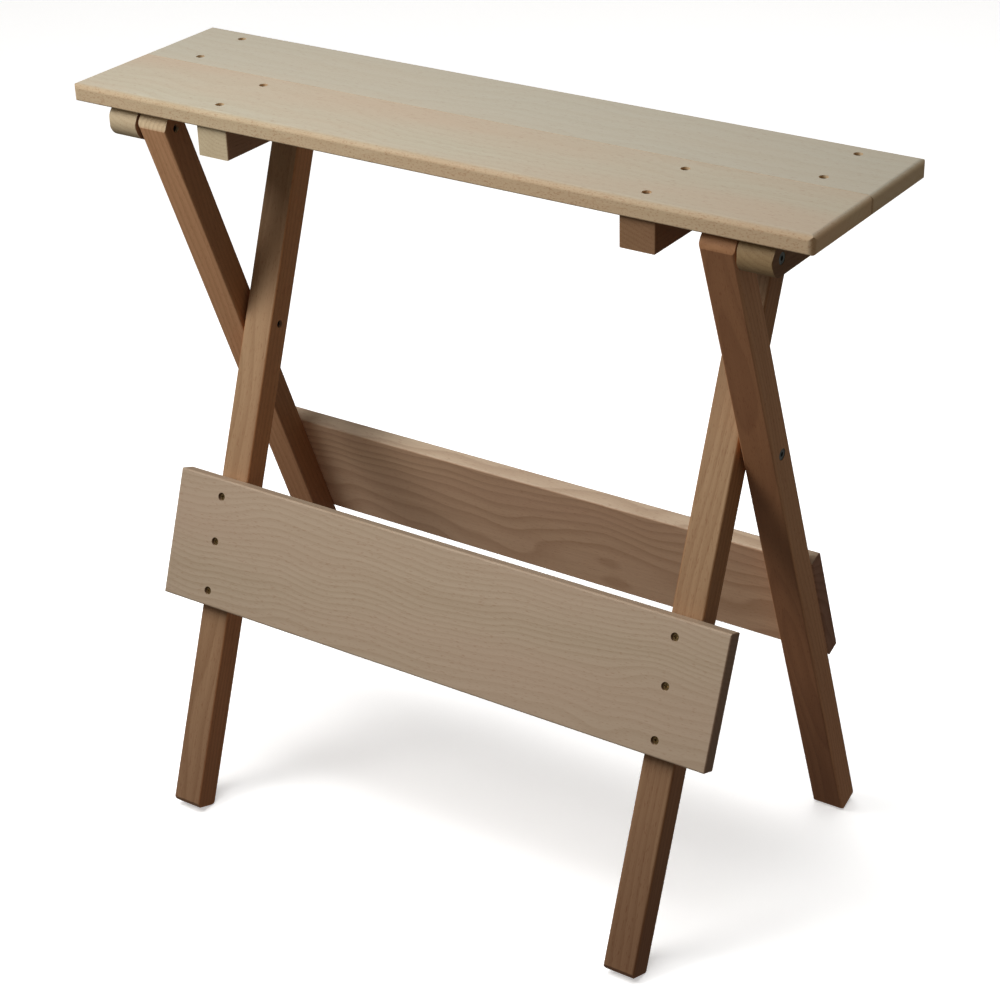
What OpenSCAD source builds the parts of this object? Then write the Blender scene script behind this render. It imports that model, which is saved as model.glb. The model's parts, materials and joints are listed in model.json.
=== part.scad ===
// Folding sawhorse in beech: two crossed leg frames carry two top boards.
// The rear board sits on battens that turn on the outer legs' front tips. The front board sits
// on cleats that turn on the inner legs' rear tips. The two boards meet edge to edge, which
// stops the legs from spreading, and they part when the legs close.
// X runs along the top, +Y to the rear and +Z up. The origin is on the floor under the centre.

/* [Top] */
// Height of the working surface above the floor
work_h = 750; // [700:5:800]
// Length of the two top boards
top_len = 796; // [770:2:900]
// Width of one top board
board_w = 105; // [102:0.5:108]
// Thickness of the top boards and of the rails
board_t = 17; // [15:0.5:20]
// Gap between the two top boards at the centre seam
seam_gap = 0.3; // [0.3:0.1:1]
// Radius on the upper outer edges of the top boards
board_round = 5; // [2:0.5:7]

/* [Legs] */
// Width of a leg, along the top
leg_w = 34; // [30:1:36]
// Thickness of a leg, across the trestle
leg_d = 28.5; // [26:0.5:30]
// Radius on the long edges of the legs
leg_round = 2.5; // [1:0.5:3]
// Height of the crossing bolts above the floor
cross_z = 491.5; // [480:0.5:510]
// Distance of each leaf pivot from the centre plane
pivot_y = 84; // [78:1:86]

/* [Rails] */
// Length of the front and rear rails
rail_len = 648; // [600:2:660]
// Height of a rail, along the legs
rail_h = 134; // [110:1:140]
// Distance from the crossing bolts down to the front rail's upper edge
front_rail_drop = 165; // [140:1:190]
// Distance from the crossing bolts down to the rear rail's upper edge
rear_rail_drop = 162.5; // [140:0.5:190]
// Radius on the edges of the rails
rail_round = 2; // [1:0.5:5]

/* [Battens and cleats] */
// Width of a batten, along the top
batten_w = 34; // [30:1:36]
// Width of a cleat, along the top
cleat_w = 36; // [30:1:38]
// Height of a batten; half of it is the radius of its round nose
batten_h = 33; // [32:0.5:35]
// Height of a cleat; half of it is the radius of its round nose
cleat_h = 30.5; // [29:0.5:33]
// Distance from the square end of a batten or cleat to the edge of its board
batten_inset = 5; // [2:1:8]
// Clearance between a batten or cleat and the board that only rests over it
rest_gap = 0.5; // [0.3:0.1:1]
// Distance from the middle of the trestle to a batten's outer face
batten_x = 359.2; // [354:0.2:366]

/* [Fasteners] */
// Thickness of one pivot washer
washer_t = 1.8; // [1.6:0.1:2.4]
// Play left beside each washer
washer_play = 0.3; // [0.3:0.1:0.5]
// Radius of a pivot bolt's shank
bolt_r = 3; // [2.5:0.5:3.5]
// Radius of the flat heads of the pivot bolts
head_r = 5.3; // [5:0.1:6]
// Length of a wood screw, head included
screw_len = 39; // [34:1:41]
// Radius of a wood screw's head
screw_head_r = 4; // [3.6:0.1:4.4]

/* [Hidden] */
$fn = 64;

// Top
under_z = work_h - board_t;
seam_round = 0.4;
under_round = 1.5;
corner_round = 6;
seam_corner_round = 2.5;
pivot_z = under_z - batten_h / 2;

// Legs, in the leg frame: origin on the crossing axis, +Z up the leg
splay = atan2(pivot_y, pivot_z - cross_z);
arm_len = norm([pivot_y, pivot_z - cross_z]);
tip_r = leg_d / 2 + 1;
foot_chamfer = 5;
foot_side_chamfer = 1.5;
// The foot is cut square, so it stands on the edge of its inner chamfer
foot_len = (cross_z - (leg_d / 2 - foot_chamfer) * sin(splay)) / cos(splay);

// Positions along X on the right-hand side, from the outside in
leaf_gap = washer_t + washer_play;
cross_gap = 2 * washer_t + 2 * washer_play;
outer_leg_x = batten_x - batten_w - leaf_gap;
inner_leg_x = outer_leg_x - leg_w - cross_gap;
cleat_x = inner_leg_x - leg_w - leaf_gap;
outer_leg_in = outer_leg_x - leg_w;
inner_leg_in = inner_leg_x - leg_w;
cleat_in = cleat_x - cleat_w;

// Bolts and barrel nuts
run_gap = 0.05;
head_t = 2.6;
head_sunk = 0.4;
socket_r = 2.4;
socket_depth = 2;
barrel_r = bolt_r + 0.9;
barrel_len = 13;
nut_sunk = 3;
open_depth = 9;
washer_r = 8;

// Wood screws
screw_r = 2.1;
screw_cone = 2.6;
screw_sunk = 2.2;
screw_tip = 4;
screw_gap = 0.05;
seam_screw_y = 20;
edge_screw_y = 85;
rail_screw_z = [18, rail_h / 2 - 1.5, rail_h - 16];

beech_top = "#c9b795";
beech_leg = "#b08c62";
beech_rail = "#b9a07a";
steel = "#b8bcc0";
brass = "#b59a54";

// ---------- shared shapes ----------

// Rectangle from the origin, with a radius for each corner, counter-clockwise from the origin
module rounded_outline(w, h, r) {
    polygon([
        [r[0], 0],
        [w - r[1], 0],
        [w, r[1]],
        [w, h - r[2]],
        [w - r[2], h],
        [r[3], h],
        [0, h - r[3]],
        [0, r[0]]
    ]);
    translate([r[0], r[0]])
        circle(r[0]);
    translate([w - r[1], r[1]])
        circle(r[1]);
    translate([w - r[2], h - r[2]])
        circle(r[2]);
    translate([r[3], h - r[3]])
        circle(r[3]);
}

function all_corners(r) = [r, r, r, r];

// Extrudes a (y, z) outline along X, centred on X = 0
module along_x(len) {
    rotate([90, 0, 90])
        linear_extrude(len, center = true)
            children();
}

// Extrudes an (x, z) outline along Y, from y = 0
module along_y(len) {
    translate([0, len, 0])
        rotate([90, 0, 0])
            linear_extrude(len)
                children();
}

// Board of length len, centred on X, from y = 0 to w and z = 0 to t. The corner radii are those
// of its section, its plan and its front view.
module eased_board(len, w, t, section, plan, front) {
    intersection() {
        along_x(len)
            rounded_outline(w, t, section);
        translate([-len / 2, 0, 0])
            linear_extrude(t)
                rounded_outline(len, w, plan);
        along_y(w)
            translate([-len / 2, 0])
                rounded_outline(len, t, front);
    }
}

// Upright outline with its lower corners cut off at the foot
module footed_outline(w, z_low, z_high, cut) {
    polygon([
        [-w / 2, z_low + cut],
        [-w / 2 + cut, z_low],
        [w / 2 - cut, z_low],
        [w / 2, z_low + cut],
        [w / 2, z_high],
        [-w / 2, z_high]
    ]);
}

module both_sides() {
    children();
    mirror([1, 0, 0])
        children();
}

// Puts the leg frame at the crossing; the outer legs lean forward at the top
module on_outer_frame() {
    translate([0, 0, cross_z])
        rotate([splay, 0, 0])
            children();
}

module on_inner_frame() {
    translate([0, 0, cross_z])
        rotate([-splay, 0, 0])
            children();
}

// Cross recess for a driver, cut down from z = 0
module cross_recess(r, wing, depth) {
    for (turn = [0, 90])
        rotate([0, 0, turn])
            translate([-r, -wing / 2, -depth])
                cube([2 * r, wing, depth + 1]);
    translate([0, 0, -depth])
        cylinder(r = 0.55 * r, h = depth + 1);
}

// ---------- fasteners ----------

// Wood screw pointing down, with z = 0 at the surface of the board
module wood_screw() {
    translate([0, 0, -screw_sunk])
        difference() {
            union() {
                translate([0, 0, -screw_cone])
                    cylinder(r1 = screw_r, r2 = screw_head_r, h = screw_cone);
                translate([0, 0, -(screw_len - screw_tip)])
                    cylinder(r = screw_r, h = screw_len - screw_tip - screw_cone);
                translate([0, 0, -screw_len])
                    cylinder(r1 = 0.3, r2 = screw_r, h = screw_tip);
            }
            cross_recess(2.2, 0.9, 1.6);
        }
}

module screw_bore() {
    translate([0, 0, -screw_sunk - 0.1])
        cylinder(r = screw_head_r + 0.25, h = screw_sunk + 1);
    translate([0, 0, -screw_sunk - screw_cone - 0.1])
        cylinder(r1 = screw_r + screw_gap, r2 = screw_head_r + 0.25, h = screw_cone);
    translate([0, 0, -screw_sunk - screw_len - 0.2])
        cylinder(r = screw_r + screw_gap, h = screw_len);
}

// Hole along X for a pivot bolt whose head is in the face at x_head, nut in the face at x_nut
module bolt_bore(x_head, x_nut) {
    reach = abs(x_head - x_nut);
    translate([x_head, 0, 0])
        rotate([0, x_nut > x_head ? 90 : -90, 0]) {
            translate([0, 0, -1])
                cylinder(r = bolt_r + run_gap, h = reach + 2);
            translate([0, 0, -1])
                cylinder(r = head_r + 0.4, h = head_t + head_sunk + 1);
            translate([0, 0, reach - nut_sunk - barrel_len - 0.5])
                cylinder(r = barrel_r + run_gap, h = nut_sunk + barrel_len + 2);
        }
}

// Flat-headed bolt along X from x_head towards x_nut, its end inside the barrel nut
module pivot_bolt(x_head, x_nut) {
    reach = abs(x_head - x_nut);
    translate([x_head, 0, 0])
        rotate([0, x_nut > x_head ? 90 : -90, 0])
            translate([0, 0, head_sunk])
                difference() {
                    union() {
                        cylinder(r = head_r, h = head_t);
                        translate([0, 0, head_t])
                            cylinder(r = bolt_r, h = reach - head_sunk - head_t - open_depth);
                    }
                    translate([0, 0, -1])
                        cylinder(r = socket_r, h = socket_depth + 1, $fn = 6);
                }
}

// Barrel nut, open right through, sunk in its hole in the face at x_nut
module barrel_nut(x_head, x_nut) {
    translate([x_nut, 0, 0])
        rotate([0, x_head > x_nut ? 90 : -90, 0])
            translate([0, 0, nut_sunk])
                difference() {
                    cylinder(r = barrel_r, h = barrel_len);
                    translate([0, 0, -1])
                        cylinder(r = bolt_r + 0.02, h = barrel_len + 2);
                }
}

// Washer around the X axis, its inner face at x
module washer(x) {
    translate([x, 0, 0])
        rotate([0, 90, 0])
            difference() {
                cylinder(r = washer_r, h = washer_t);
                translate([0, 0, -1])
                    cylinder(r = bolt_r + run_gap, h = washer_t + 2);
            }
}

module at_front_pivot() {
    translate([0, -pivot_y, pivot_z])
        children();
}

module at_rear_pivot() {
    translate([0, pivot_y, pivot_z])
        children();
}

module at_crossing() {
    translate([0, 0, cross_z])
        children();
}

// ---------- top boards ----------

// Puts a wood screw, or its bore, at the two screw places of a board at x
module at_board_screws(x, side) {
    for (y = [seam_screw_y, edge_screw_y])
        translate([x, side * y, work_h])
            children();
}

module rear_board_blank() {
    translate([0, seam_gap / 2, under_z])
        eased_board(
            top_len, board_w, board_t,
            [seam_round, under_round, board_round, seam_round],
            [seam_corner_round, seam_corner_round, corner_round, corner_round],
            [under_round, under_round, board_round, board_round]
        );
}

module rear_board() {
    color(beech_top)
        difference() {
            rear_board_blank();
            both_sides()
                at_board_screws(batten_x - batten_w / 2, 1)
                    screw_bore();
        }
}

module front_board() {
    color(beech_top)
        difference() {
            mirror([0, 1, 0])
                rear_board_blank();
            both_sides()
                at_board_screws(cleat_x - cleat_w / 2, -1)
                    screw_bore();
        }
}

// ---------- battens and cleats ----------

// Bar of width w and height h, its round nose at the front pivot, its square end at the rear
module bar_blank(w, h) {
    nose_r = h / 2;
    end_y = seam_gap / 2 + board_w - batten_inset;
    nose_y = -pivot_y - nose_r;
    edge = all_corners(1.5);
    intersection() {
        along_x(w)
            difference() {
                union() {
                    translate([-pivot_y, under_z - nose_r])
                        circle(nose_r);
                    translate([-pivot_y, under_z - h])
                        square([pivot_y + end_y, h]);
                }
                translate([nose_y - 1, under_z - rest_gap])
                    square([-nose_y + 1, h]);
            }
        translate([-w / 2, nose_y, under_z - h])
            along_y(end_y - nose_y)
                rounded_outline(w, h, edge);
        translate([-w / 2, nose_y, under_z - h])
            linear_extrude(h)
                rounded_outline(w, end_y - nose_y, edge);
    }
}

module batten() {
    difference() {
        translate([batten_x - batten_w / 2, 0, 0])
            bar_blank(batten_w, batten_h);
        at_front_pivot()
            bolt_bore(batten_x, outer_leg_in);
        at_board_screws(batten_x - batten_w / 2, 1)
            screw_bore();
    }
}

// The cleat is a slimmer bar turned round, so its nose is at the rear pivot
module cleat() {
    difference() {
        translate([cleat_x - cleat_w / 2, 0, 0])
            mirror([0, 1, 0])
                bar_blank(cleat_w, cleat_h);
        at_rear_pivot()
            bolt_bore(cleat_in, inner_leg_x);
        at_board_screws(cleat_x - cleat_w / 2, -1)
            screw_bore();
    }
}

module batten_right() {
    color(beech_leg)
        batten();
}

module batten_left() {
    color(beech_leg)
        mirror([1, 0, 0])
            batten();
}

module cleat_right() {
    color(beech_leg)
        cleat();
}

module cleat_left() {
    color(beech_leg)
        mirror([1, 0, 0])
            cleat();
}

// ---------- legs ----------

// Leg in its own frame, its outer face at x and its tip round about the leaf pivot
module leg_blank(x) {
    top_z = arm_len + tip_r;
    translate([x - leg_w / 2, 0, 0])
        intersection() {
            translate([-leg_w / 2, -leg_d / 2, -foot_len])
                linear_extrude(foot_len + top_z)
                    rounded_outline(leg_w, leg_d, all_corners(leg_round));
            along_x(leg_w) {
                footed_outline(leg_d, -foot_len, arm_len, foot_chamfer);
                translate([0, arm_len])
                    circle(tip_r);
            }
            translate([0, -leg_d / 2, 0])
                along_y(leg_d)
                    footed_outline(leg_w, -foot_len, top_z, foot_side_chamfer);
        }
}

// Puts a wood screw, or its bore, at the three screw places of a rail that hangs at that drop
module at_rail_screws(x, drop) {
    for (z = rail_screw_z)
        translate([x, -leg_d / 2 - board_t, -drop - z])
            rotate([90, 0, 0])
                children();
}

module outer_leg() {
    difference() {
        on_outer_frame()
            leg_blank(outer_leg_x);
        at_crossing()
            bolt_bore(outer_leg_x, inner_leg_in);
        at_front_pivot()
            bolt_bore(batten_x, outer_leg_in);
        on_outer_frame()
            mirror([0, 1, 0])
                at_rail_screws(outer_leg_x - leg_w / 2, rear_rail_drop)
                    screw_bore();
    }
}

module inner_leg() {
    difference() {
        on_inner_frame()
            leg_blank(inner_leg_x);
        at_crossing()
            bolt_bore(outer_leg_x, inner_leg_in);
        at_rear_pivot()
            bolt_bore(cleat_in, inner_leg_x);
        on_inner_frame()
            at_rail_screws(inner_leg_x - leg_w / 2, front_rail_drop)
                screw_bore();
    }
}

module outer_leg_right() {
    color(beech_leg)
        outer_leg();
}

module outer_leg_left() {
    color(beech_leg)
        mirror([1, 0, 0])
            outer_leg();
}

module inner_leg_right() {
    color(beech_leg)
        inner_leg();
}

module inner_leg_left() {
    color(beech_leg)
        mirror([1, 0, 0])
            inner_leg();
}

// ---------- rails ----------

// Rail in a leg frame, on the front faces of the legs
module rail_blank(x_legs, drop) {
    edge = all_corners(rail_round);
    difference() {
        translate([0, -leg_d / 2, -drop - rail_h])
            rotate([90, 0, 0])
                eased_board(rail_len, rail_h, board_t, edge, edge, edge);
        both_sides()
            at_rail_screws(x_legs - leg_w / 2, drop)
                screw_bore();
    }
}

module front_rail() {
    color(beech_rail)
        on_inner_frame()
            rail_blank(inner_leg_x, front_rail_drop);
}

module rear_rail() {
    color(beech_rail)
        on_outer_frame()
            mirror([0, 1, 0])
                rail_blank(outer_leg_x, rear_rail_drop);
}

// ---------- screws ----------

module batten_screws() {
    color(brass)
        both_sides()
            at_board_screws(batten_x - batten_w / 2, 1)
                wood_screw();
}

module cleat_screws() {
    color(brass)
        both_sides()
            at_board_screws(cleat_x - cleat_w / 2, -1)
                wood_screw();
}

module front_rail_screws() {
    color(brass)
        on_inner_frame()
            both_sides()
                at_rail_screws(inner_leg_x - leg_w / 2, front_rail_drop)
                    wood_screw();
}

module rear_rail_screws() {
    color(brass)
        on_outer_frame()
            mirror([0, 1, 0])
                both_sides()
                    at_rail_screws(outer_leg_x - leg_w / 2, rear_rail_drop)
                        wood_screw();
}

// ---------- pivots ----------

module crossing_bolts() {
    color(steel)
        both_sides()
            at_crossing()
                pivot_bolt(outer_leg_x, inner_leg_in);
}

module crossing_nuts() {
    color(steel)
        both_sides()
            at_crossing()
                barrel_nut(outer_leg_x, inner_leg_in);
}

// Two washers fill the gap between the legs
module crossing_washers() {
    color(steel)
        both_sides()
            at_crossing()
                for (x = [inner_leg_x + washer_play, outer_leg_in - washer_t])
                    washer(x);
}

module batten_bolts() {
    color(steel)
        both_sides()
            at_front_pivot()
                pivot_bolt(batten_x, outer_leg_in);
}

module batten_nuts() {
    color(steel)
        both_sides()
            at_front_pivot()
                barrel_nut(batten_x, outer_leg_in);
}

module batten_washers() {
    color(steel)
        both_sides()
            at_front_pivot()
                washer(outer_leg_x + washer_play);
}

module cleat_bolts() {
    color(steel)
        both_sides()
            at_rear_pivot()
                pivot_bolt(cleat_in, inner_leg_x);
}

module cleat_nuts() {
    color(steel)
        both_sides()
            at_rear_pivot()
                barrel_nut(cleat_in, inner_leg_x);
}

module cleat_washers() {
    color(steel)
        both_sides()
            at_rear_pivot()
                washer(cleat_x);
}

rear_board();
front_board();
batten_left();
batten_right();
cleat_left();
cleat_right();
outer_leg_left();
outer_leg_right();
inner_leg_left();
inner_leg_right();
rear_rail();
front_rail();
batten_screws();
cleat_screws();
rear_rail_screws();
front_rail_screws();
crossing_bolts();
crossing_nuts();
crossing_washers();
batten_bolts();
batten_nuts();
batten_washers();
cleat_bolts();
cleat_nuts();
cleat_washers();
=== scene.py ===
import json
import math

import bpy
from mathutils import Matrix, Vector


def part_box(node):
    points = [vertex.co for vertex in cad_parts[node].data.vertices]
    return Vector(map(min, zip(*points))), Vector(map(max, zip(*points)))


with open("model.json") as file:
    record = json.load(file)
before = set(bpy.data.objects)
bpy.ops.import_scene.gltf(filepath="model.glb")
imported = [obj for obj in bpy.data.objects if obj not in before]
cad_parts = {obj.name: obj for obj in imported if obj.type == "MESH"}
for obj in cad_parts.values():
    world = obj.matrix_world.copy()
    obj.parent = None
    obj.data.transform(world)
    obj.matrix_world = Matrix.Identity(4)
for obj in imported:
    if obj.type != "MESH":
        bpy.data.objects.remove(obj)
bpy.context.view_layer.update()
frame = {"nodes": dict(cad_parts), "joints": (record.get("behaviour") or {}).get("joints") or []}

NODES = frame["nodes"]

X = Vector((1, 0, 0))
Y = Vector((0, 1, 0))
Z = Vector((0, 0, 1))

CAMERA_AZIMUTH = 34.63
CAMERA_ELEVATION = 30.22
CAMERA_ROLL = -1.75
CAMERA_DISTANCE = 2.4240
CAMERA_TARGET = Vector((0.0074, 0.0045, 0.2427))
CAMERA_LENS = 85.86
CAMERA_SHIFT_Y = 0.10
CAMERA_CLIP = (0.05, 60)

# Beech: features per metre along the fibres, across the face and through it
WANDER_SCALE = (2.2, 9, 9)
SWAY_SCALE = (8, 5, 5)
UNEVEN_SCALE = (1.5, 30, 30)
FIBRE_SCALE = (14, 1100, 1100)
STREAK_SCALE = (3.2, 90, 90)
CLOUD_SCALE = (2.4, 13, 13)
FLECK_SCALE = (170, 900, 900)
DOT_SCALE = (420, 800, 800)

# Beech: the full reach of the pith's path in metres, and of the rings' sway per metre of wave
WANDER_REACH = 0.045
SWAY_REACH = 4

# Beech: shares of the fibres and the broad streaks in the figure
FIBRE_SHARE = 0.45
STREAK_SHARE = 0.55

# Beech: where the tint gathers, and where the painted shade of the far end comes in,
# from the middle in metres
WARM_SPAN = (0.035, 0.075)
HIGH_SPAN = (0.25, 0.32)

# Tones multiply a colour
NO_CHANGE = (1, 1, 1)
RAY_TONE = (0.62, 0.40, 0.30)

# Floor, in metres
FLOOR_HALF = 12.0
WALL_HEIGHT = 8.0
FLOOR_Z = -0.0005


def vector_of(azimuth, elevation):
    """Unit vector from the object towards a viewer or light at those angles, in degrees."""
    a, e = math.radians(azimuth), math.radians(elevation)
    return Vector((math.sin(a) * math.cos(e), -math.cos(a) * math.cos(e), math.sin(e)))


def aim(obj, back, distance, target, roll=0.0):
    """Puts obj at that distance from target along back, looking at it."""
    flat = Z.cross(back).normalized()
    upright = back.cross(flat)
    r = math.radians(roll)
    right = flat * math.cos(r) + upright * math.sin(r)
    up = back.cross(right)
    place = Matrix((right, up, back)).transposed().to_4x4()
    place.translation = target + back * distance
    obj.matrix_world = place


def link(name, data):
    """Adds an object with that data to the scene."""
    obj = bpy.data.objects.new(name, data)
    bpy.context.scene.collection.objects.link(obj)
    return obj


def make_camera():
    data = bpy.data.cameras.new("camera")
    data.sensor_width = 36
    data.lens = CAMERA_LENS
    data.shift_y = CAMERA_SHIFT_Y
    data.clip_start, data.clip_end = CAMERA_CLIP
    obj = link("camera", data)
    aim(obj, vector_of(CAMERA_AZIMUTH, CAMERA_ELEVATION), CAMERA_DISTANCE, CAMERA_TARGET,
        CAMERA_ROLL)
    bpy.context.scene.camera = obj


class Shader:
    """Builds the nodes of one material."""

    def __init__(self, name):
        self.material = bpy.data.materials.new(name)
        self.material.use_nodes = True
        self.tree = self.material.node_tree
        self.tree.nodes.clear()

    def put(self, socket, value):
        if isinstance(value, bpy.types.NodeSocket):
            self.tree.links.new(value, socket)
        elif socket.type == "RGBA" and len(value) == 3:
            socket.default_value = (*value, 1.0)
        else:
            socket.default_value = value

    def add(self, kind, settings=None, **inputs):
        made = self.tree.nodes.new("ShaderNode" + kind)
        for key, value in (settings or {}).items():
            setattr(made, key, value)
        for key, value in inputs.items():
            self.put(made.inputs[key.replace("_", " ")], value)
        return made

    def math(self, operation, *values):
        made = self.add("Math", {"operation": operation})
        for socket, value in zip(made.inputs, values):
            self.put(socket, value)
        return made.outputs[0]

    def vector(self, operation, *values, out="Vector"):
        made = self.add("VectorMath", {"operation": operation})
        for socket, value in zip(made.inputs, values):
            self.put(socket, value)
        return made.outputs[out]

    def dot(self, vector, direction):
        return self.vector("DOT_PRODUCT", vector, tuple(direction), out="Value")

    def scaled(self, vector, scale):
        return self.vector("MULTIPLY", vector, scale)

    def mix(self, factor, a, b, blend="MIX"):
        settings = {"data_type": "RGBA", "blend_type": blend, "clamp_result": True}
        made = self.add("Mix", settings)
        # Inputs 6 and 7 and output 2 are the colour sockets
        self.put(made.inputs[0], factor)
        self.put(made.inputs[6], a)
        self.put(made.inputs[7], b)
        return made.outputs[2]

    def toned(self, factor, colour, tone):
        """The colour, multiplied by tone where factor is 1."""
        return self.mix(factor, colour, self.mix(1.0, colour, tone, "MULTIPLY"))

    def noise_node(self, vector, scale, detail, roughness):
        return self.add("TexNoise", Vector=self.scaled(vector, scale), Scale=1.0, Detail=detail,
                        Roughness=roughness)

    def noise(self, vector, scale, detail=2.0, roughness=0.5):
        """Noise from 0 to 1 whose features are 1/scale metres long on each axis."""
        return self.noise_node(vector, scale, detail, roughness).outputs["Fac"]

    def drift(self, vector, scale, detail, roughness, reach):
        """Push to the side and in depth, which ranges over reach and is 0 on average."""
        colour = self.noise_node(vector, scale, detail, roughness).outputs["Color"]
        centred = self.vector("SUBTRACT", colour, (0.5, 0.5, 0.5))
        return self.scaled(centred, (0, reach, reach))

    def span(self, value, low, high, to_low=0.0, to_high=1.0):
        """Maps low..high to to_low..to_high, and holds it there outside them."""
        made = self.add("MapRange", {"clamp": True}, Value=value)
        limits = (("From Min", low), ("From Max", high), ("To Min", to_low), ("To Max", to_high))
        for key, number in limits:
            made.inputs[key].default_value = number
        return made.outputs[0]

    def surface(self, constants, **inputs):
        """Ends the material in a principled surface, and returns the material."""
        shader = self.add("BsdfPrincipled", **inputs)
        for key, value in constants.items():
            shader.inputs[key].default_value = value
        self.put(self.add("OutputMaterial").inputs["Surface"], shader.outputs[0])
        return self.material


def beech(name, grain, across, centre, seed, *, light, dark, tint, pith, ring_gap, ring_strength,
          streak_strength, fleck_strength, tint_strength, end_tone, end_span=(0.2, 0.5),
          edge_tone=NO_CHANGE, edge_fleck=0.0, round_tone=NO_CHANGE, low_tone=NO_CHANGE,
          low_span=(-0.36, 0.1), high_tone=NO_CHANGE, warm=0.0, wave=0.0):
    """Planed beech.

    grain and across are the directions of the fibres and of the face. pith is where the tree's
    centre lies, across and below the middle of the face, ring_gap the distance between growth
    rings, and wave how far the rings sway, all in metres. end_tone multiplies the end grain.
    edge_tone multiplies the narrow faces: partly their own tone, partly painted
    light and shade on the sides. round_tone is painted shade on the rounded edges beside
    them, which dims their highlight. low_tone paints light and shade at the start
    of the piece, fading out over low_span, and high_tone paints shade at
    its far end. edge_fleck is the strength of the dots in the narrow faces, and warm is how much
    of the tint gathers towards the far side of the face.
    """
    s = Shader(name)
    along = Vector(grain).normalized()
    side = (Vector(across) - along * Vector(across).dot(along)).normalized()
    depth = along.cross(side)
    turn = Matrix((along, side, depth)).transposed().to_euler("XYZ")
    place = s.add("TexCoord")
    position, normal = place.outputs["Object"], place.outputs["Normal"]
    local = s.add("Mapping", {"vector_type": "TEXTURE"}, Vector=position,
                  Location=Vector(centre) + along * seed, Rotation=turn).outputs[0]

    # Growth rings about the pith, which wanders along the piece
    shift = s.drift(local, WANDER_SCALE, 2.0, 0.45, WANDER_REACH)
    bend = s.drift(local, SWAY_SCALE, 1.0, 0.4, SWAY_REACH * wave)
    swayed = s.vector("ADD", s.vector("ADD", local, shift), bend)
    about_pith = s.vector("SUBTRACT", swayed, (0, *pith))
    radius = s.vector("LENGTH", s.scaled(about_pith, (0, 1, 1)), out="Value")
    uneven = s.noise(local, UNEVEN_SCALE, 1.0)
    turns = s.math("ADD", s.math("DIVIDE", radius, ring_gap), s.math("MULTIPLY", uneven, 0.8))
    ring = s.math("FRACT", turns)
    late = s.math("MULTIPLY", s.span(ring, 0.35, 0.86), s.span(ring, 0.9, 1.0, 1.0, 0.0))

    # Fibres, broad streaks, clouds and ray flecks
    fine = s.noise(local, FIBRE_SCALE, 3.0, 0.6)
    broad = s.noise(local, STREAK_SCALE, 3.0, 0.55)
    cloud = s.noise(local, CLOUD_SCALE, 2.0)
    fleck = s.span(s.noise(local, FLECK_SCALE, 1.0), 0.60, 0.72)
    streak = s.math("ADD", s.math("MULTIPLY", fine, FIBRE_SHARE),
                    s.math("MULTIPLY", broad, STREAK_SHARE))
    colour = s.mix(s.math("MULTIPLY", late, ring_strength), light, dark)
    colour = s.mix(s.math("MULTIPLY", s.span(streak, 0.38, 0.68), streak_strength), colour, dark)
    colour = s.mix(s.math("MULTIPLY", s.span(cloud, 0.35, 0.7), tint_strength), colour, tint)

    # The tint gathers towards the far side of the face
    off_axis = s.math("SUBTRACT", s.dot(position, side), Vector(centre).dot(side))
    gathered = s.span(s.math("ADD", off_axis, s.math("MULTIPLY", cloud, 0.04)), *WARM_SPAN)
    colour = s.mix(s.math("MULTIPLY", gathered, warm), colour, tint)

    # Narrow faces, partly their own tone and partly painted light and shade, and painted shade on
    # the rounded edges beside them, then flecks and dots
    sideways = s.math("ABSOLUTE", s.dot(normal, side))
    edge = s.span(sideways, 0.3, 0.8)
    colour = s.toned(edge, colour, edge_tone)
    rubbed = s.math("MULTIPLY", s.span(sideways, 0.1, 0.45), s.span(sideways, 0.8, 0.98, 1.0, 0.0))
    colour = s.toned(rubbed, colour, round_tone)
    rays = s.mix(1.0, colour, RAY_TONE, "MULTIPLY")
    colour = s.mix(s.math("MULTIPLY", fleck, fleck_strength), colour, rays)
    dots = s.span(s.noise(local, DOT_SCALE, 1.0), 0.54, 0.70)
    colour = s.mix(s.math("MULTIPLY", s.math("MULTIPLY", dots, edge), edge_fleck), colour, rays)

    # End grain shows where the surface faces along the fibres
    end = s.span(s.math("ABSOLUTE", s.dot(normal, along)), *end_span)
    colour = s.toned(end, colour, end_tone)

    # Painted light and shade at the two ends of the piece
    reach = s.math("SUBTRACT", s.dot(position, along), Vector(centre).dot(along))
    colour = s.toned(s.span(reach, *low_span, 1.0, 0.0), colour, low_tone)
    colour = s.toned(s.span(reach, *HIGH_SPAN), colour, high_tone)

    height = s.math("ADD", s.math("MULTIPLY", streak, 0.7), s.math("MULTIPLY", late, 0.25))
    bump = s.add("Bump", Height=height, Strength=0.35, Distance=0.0003)
    rough = s.span(s.math("ADD", streak, s.math("MULTIPLY", end, 0.4)), 0.3, 1.1, 0.5, 0.75)
    return s.surface({"Specular IOR Level": 0.35}, Base_Color=colour, Roughness=rough,
                     Normal=bump.outputs[0])


def metal(name, clean, worn, roughness, seed):
    """Plated metal with cloudy plating, fine grit and a little dirt."""
    s = Shader(name)
    place = s.add("TexCoord")
    local = s.vector("ADD", place.outputs["Object"], (seed, seed * 0.7, 0))
    cloud = s.noise(local, (260, 260, 260), 3.0, 0.6)
    grit = s.noise(local, (2200, 2200, 2200), 2.0)
    dirt = tuple(0.35 * c for c in worn)
    colour = s.mix(s.span(cloud, 0.35, 0.75), clean, worn)
    colour = s.mix(s.span(grit, 0.58, 0.8, 0.0, 0.4), colour, dirt)
    rough = s.span(cloud, 0.3, 0.7, roughness - 0.08, roughness + 0.14)
    bump = s.add("Bump", Height=grit, Strength=0.25, Distance=0.00005)
    return s.surface({"Metallic": 1.0}, Base_Color=colour, Roughness=rough, Normal=bump.outputs[0])


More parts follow.
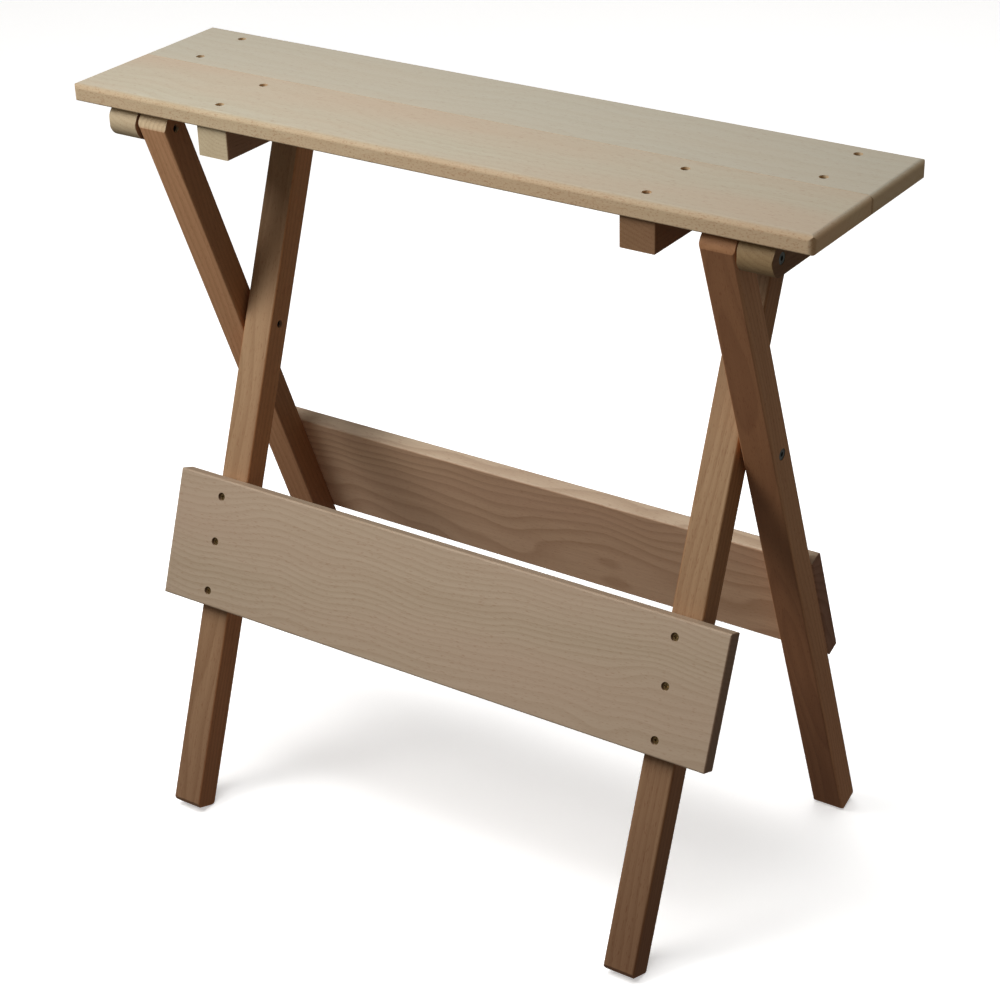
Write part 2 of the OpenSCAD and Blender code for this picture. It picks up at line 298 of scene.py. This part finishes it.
def dress(node, material):
    """Gives a CAD node its finish."""
    slots = NODES[node].material_slots
    for item in slots:
        item.material = material
    if not slots:
        NODES[node].data.materials.append(material)


def middle(node):
    low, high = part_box(node)
    return (low + high) / 2


def in_beech(node, grain, across, seed, **look):
    dress(node, beech("beech_" + node, grain, across, middle(node), seed, **look))


def pivot(name):
    joint = next(j for j in frame["joints"] if j["name"] == name)
    return Vector(joint["pos_m"])


# The legs' directions follow from the pivots
OUTER_UP = (pivot("rear_leaf_hinge") - pivot("leg_cross")).normalized()
INNER_UP = (pivot("front_leaf_hinge") - pivot("leg_cross")).normalized()


def tones(light, dark, tint):
    return {"light": light, "dark": dark, "tint": tint}


FRONT_TOP = tones((0.655, 0.60, 0.47), (0.565, 0.48, 0.345), (0.665, 0.53, 0.395))
REAR_TOP = tones((0.645, 0.605, 0.495), (0.565, 0.50, 0.375), (0.655, 0.565, 0.435))
FRONT_RAIL = tones((0.615, 0.485, 0.35), (0.45, 0.325, 0.21), (0.61, 0.445, 0.325))
# The rear rail's tones are partly painted light where the top and front rail shade it
BACK_RAIL = tones((0.83, 0.56, 0.36), (0.56, 0.33, 0.19), (0.74, 0.46, 0.305))
INNER_LEG = tones((0.57, 0.37, 0.205), (0.36, 0.20, 0.095), (0.48, 0.275, 0.15))
TAN_LEG = tones((0.77, 0.435, 0.23), (0.50, 0.243, 0.107), (0.66, 0.336, 0.168))
RED_LEG = tones((0.42, 0.197, 0.092), (0.28, 0.117, 0.052), (0.385, 0.19, 0.087))
# The pale tone is partly painted light on the left bars, the brown partly painted shade under the
# right end of the top
PALE_BAR = tones((0.64, 0.52, 0.36), (0.50, 0.375, 0.235), (0.62, 0.46, 0.32))
BROWN_BAR = tones((0.36, 0.23, 0.125), (0.245, 0.14, 0.07), (0.33, 0.19, 0.11))
STEEL_CLEAN = (0.26, 0.30, 0.30)
STEEL_WORN = (0.13, 0.15, 0.15)
BRASS_CLEAN = (0.46, 0.33, 0.15)
BRASS_WORN = (0.20, 0.13, 0.06)


def finish_boards():
    # Painted shade on the rounded edges dims their highlight; the narrow faces' tan is their own
    # tone with a little painted shade
    both = dict(edge_fleck=0.5, end_tone=(1.33, 1.10, 0.85), end_span=(0.35, 0.9),
                edge_tone=(1.03, 0.90, 0.75), round_tone=(0.82, 0.80, 0.76), wave=0.006)
    in_beech("front_board", (1, 0.012, 0.02), Y, 0.31, pith=(0.075, -0.09), ring_gap=0.0075,
             ring_strength=0.3, streak_strength=0.3, tint_strength=0.8, fleck_strength=0.3,
             warm=0.4, **both, **FRONT_TOP)
    in_beech("rear_board", (1, -0.01, 0.015), Y, 1.77, pith=(-0.06, -0.11), ring_gap=0.0085,
             ring_strength=0.27, streak_strength=0.28, tint_strength=0.45, fleck_strength=0.25,
             **both, **REAR_TOP)


def finish_rails():
    in_beech("front_rail", (1, 0.02, 0.05), INNER_UP, 0.05, pith=(-0.10, 0.05), ring_gap=0.006,
             ring_strength=0.46, streak_strength=0.4, tint_strength=0.55, fleck_strength=0.3,
             wave=0.009, end_tone=(0.60, 0.50, 0.45), **FRONT_RAIL)
    # The rear rail is lighter at its left end, as painted light where the top shades it
    in_beech("rear_rail", (1, -0.015, 0.03), OUTER_UP, 2.6, pith=(-0.08, 0.12), ring_gap=0.0095,
             ring_strength=0.7, streak_strength=0.5, tint_strength=0.5, fleck_strength=0.3,
             wave=0.010, end_tone=(0.52, 0.41, 0.40), edge_tone=(1.06, 1.25, 1.40),
             low_tone=(1.16, 1.2, 1.24), low_span=(-0.3, 0.3), **BACK_RAIL)


def finish_legs():
    # Node, direction, tones, then the tones of the foot (painted shade), end grain, narrow faces
    # (painted light and shade) and tip (painted shade under the top)
    legs = (("outer_leg_left", OUTER_UP, TAN_LEG,
             (0.60, 0.47, 0.42), (1.05, 1.5, 1.85), (0.70, 0.61, 0.52), NO_CHANGE),
            ("outer_leg_right", OUTER_UP, RED_LEG,
             (0.95, 0.88, 0.84), (1.15, 1.22, 1.2), (1.80, 2.0, 2.1), NO_CHANGE),
            ("inner_leg_left", INNER_UP, INNER_LEG,
             (0.80, 0.72, 0.72), (1.1, 1.05, 1.05), (1.28, 0.98, 0.77), NO_CHANGE),
            ("inner_leg_right", INNER_UP, INNER_LEG,
             (0.60, 0.52, 0.50), (1.1, 1.0, 1.0), (1.0, 0.78, 0.60), (0.55, 0.5, 0.48)))
    for i, (node, up, wood, low_tone, end_tone, edge_tone, high_tone) in enumerate(legs):
        lean = up + X * (0.012 * (-1) ** i)
        in_beech(node, lean, X, 0.7 + 1.3 * i, pith=(0.03 - 0.02 * i, -0.035 - 0.01 * i),
                 ring_gap=0.0048, ring_strength=0.5, streak_strength=0.5, tint_strength=0.5,
                 fleck_strength=0.4, end_tone=end_tone, edge_tone=edge_tone, low_tone=low_tone,
                 high_tone=high_tone, **wood)


def finish_bars():
    # Node, tones, then the tones of the end grain and the narrow faces (painted shade)
    bars = (("batten_left", PALE_BAR, (1.06, 1.08, 1.02), (0.62, 0.42, 0.34)),
            ("batten_right", BROWN_BAR, (1.1, 1.2, 1.1), (0.75, 0.60, 0.46)),
            ("cleat_left", PALE_BAR, (1.1, 1.14, 1.1), (0.62, 0.42, 0.34)),
            ("cleat_right", BROWN_BAR, (0.95, 0.86, 0.8), (0.75, 0.58, 0.42)))
    for i, (node, wood, end_tone, edge_tone) in enumerate(bars):
        in_beech(node, Y + X * 0.02, X, 0.4 + 0.9 * i, pith=(0.02, -0.03 - 0.006 * i),
                 ring_gap=0.0045, ring_strength=0.4, streak_strength=0.5, tint_strength=0.4,
                 fleck_strength=0.5, end_tone=end_tone, edge_tone=edge_tone, **wood)


def finish_metal():
    screws = ("batten_screws", "cleat_screws", "front_rail_screws", "rear_rail_screws")
    for i, node in enumerate(screws):
        dress(node, metal("brass_" + node, BRASS_CLEAN, BRASS_WORN, 0.36, 0.3 * i))
    fixings = ("crossing_bolts", "crossing_nuts", "crossing_washers", "batten_bolts",
               "batten_nuts", "batten_washers", "cleat_bolts", "cleat_nuts", "cleat_washers")
    for i, node in enumerate(fixings):
        dress(node, metal("steel_" + node, STEEL_CLEAN, STEEL_WORN, 0.42, 0.2 * i))


def make_floor():
    """Pale floor with a wall round it, which lower views see in place of the horizon."""
    low, high = -FLOOR_HALF, FLOOR_HALF
    corners = ((low, low), (high, low), (high, high), (low, high))
    points = [(x, y, z) for z in (0.0, WALL_HEIGHT) for x, y in corners]
    walls = [(i, (i + 1) % 4, (i + 1) % 4 + 4, i + 4) for i in range(4)]
    mesh = bpy.data.meshes.new("floor")
    mesh.from_pydata(points, [], [(0, 1, 2, 3), *walls])
    obj = link("floor", mesh)
    obj.location.z = FLOOR_Z
    s = Shader("floor")
    place = s.add("TexCoord")
    cloud = s.noise(place.outputs["Object"], (1.2, 1.2, 1.2), 2.0)
    constants = {"Emission Color": (1, 1, 1, 1), "Emission Strength": 0.45, "Roughness": 0.9,
                 "Specular IOR Level": 0.1}
    colour = s.mix(cloud, (0.90, 0.90, 0.895), (0.94, 0.94, 0.94))
    mesh.materials.append(s.surface(constants, Base_Color=colour))
    # The object isn't lit by the floor and doesn't mirror it
    obj.visible_diffuse = False
    obj.visible_glossy = False


def area_light(name, azimuth, elevation, distance, size, power, colour, target, spread=180):
    """Round light of that size and distance in metres and power in watts, aimed at target."""
    data = bpy.data.lights.new(name, "AREA")
    data.shape = "DISK"
    data.size = size
    data.energy = power
    data.color = colour
    data.spread = math.radians(spread)
    obj = link(name, data)
    aim(obj, vector_of(azimuth, elevation), distance, Vector(target))
    return obj


def make_light():
    area_light("key", azimuth=-42, elevation=37, distance=1.9, size=1.1, power=6.2,
               colour=(1.0, 0.985, 0.97), target=(0.07, 0, 0.75), spread=80)
    area_light("overhead", azimuth=-30, elevation=78, distance=1.9, size=1.5, power=10.5,
               colour=(0.98, 0.99, 1.0), target=(0.0, 0, 0.7))
    # The wash reaches only the floor, and keeps it pale
    wash = area_light("wash", azimuth=-20, elevation=82, distance=6.0, size=5.0, power=260,
                      colour=(1.0, 1.0, 1.0), target=(0, 0, 0))
    only = bpy.data.collections.new("washed")
    only.objects.link(bpy.data.objects["floor"])
    wash.light_linking.receiver_collection = only
    world = bpy.data.worlds.new("world")
    world.use_nodes = True
    back = world.node_tree.nodes["Background"]
    back.inputs["Color"].default_value = (1.0, 0.93, 0.85, 1.0)
    back.inputs["Strength"].default_value = 0.13
    bpy.context.scene.world = world
    bpy.context.scene.view_settings.view_transform = "Standard"


make_camera()
finish_boards()
finish_rails()
finish_legs()
finish_bars()
finish_metal()
make_floor()
make_light()
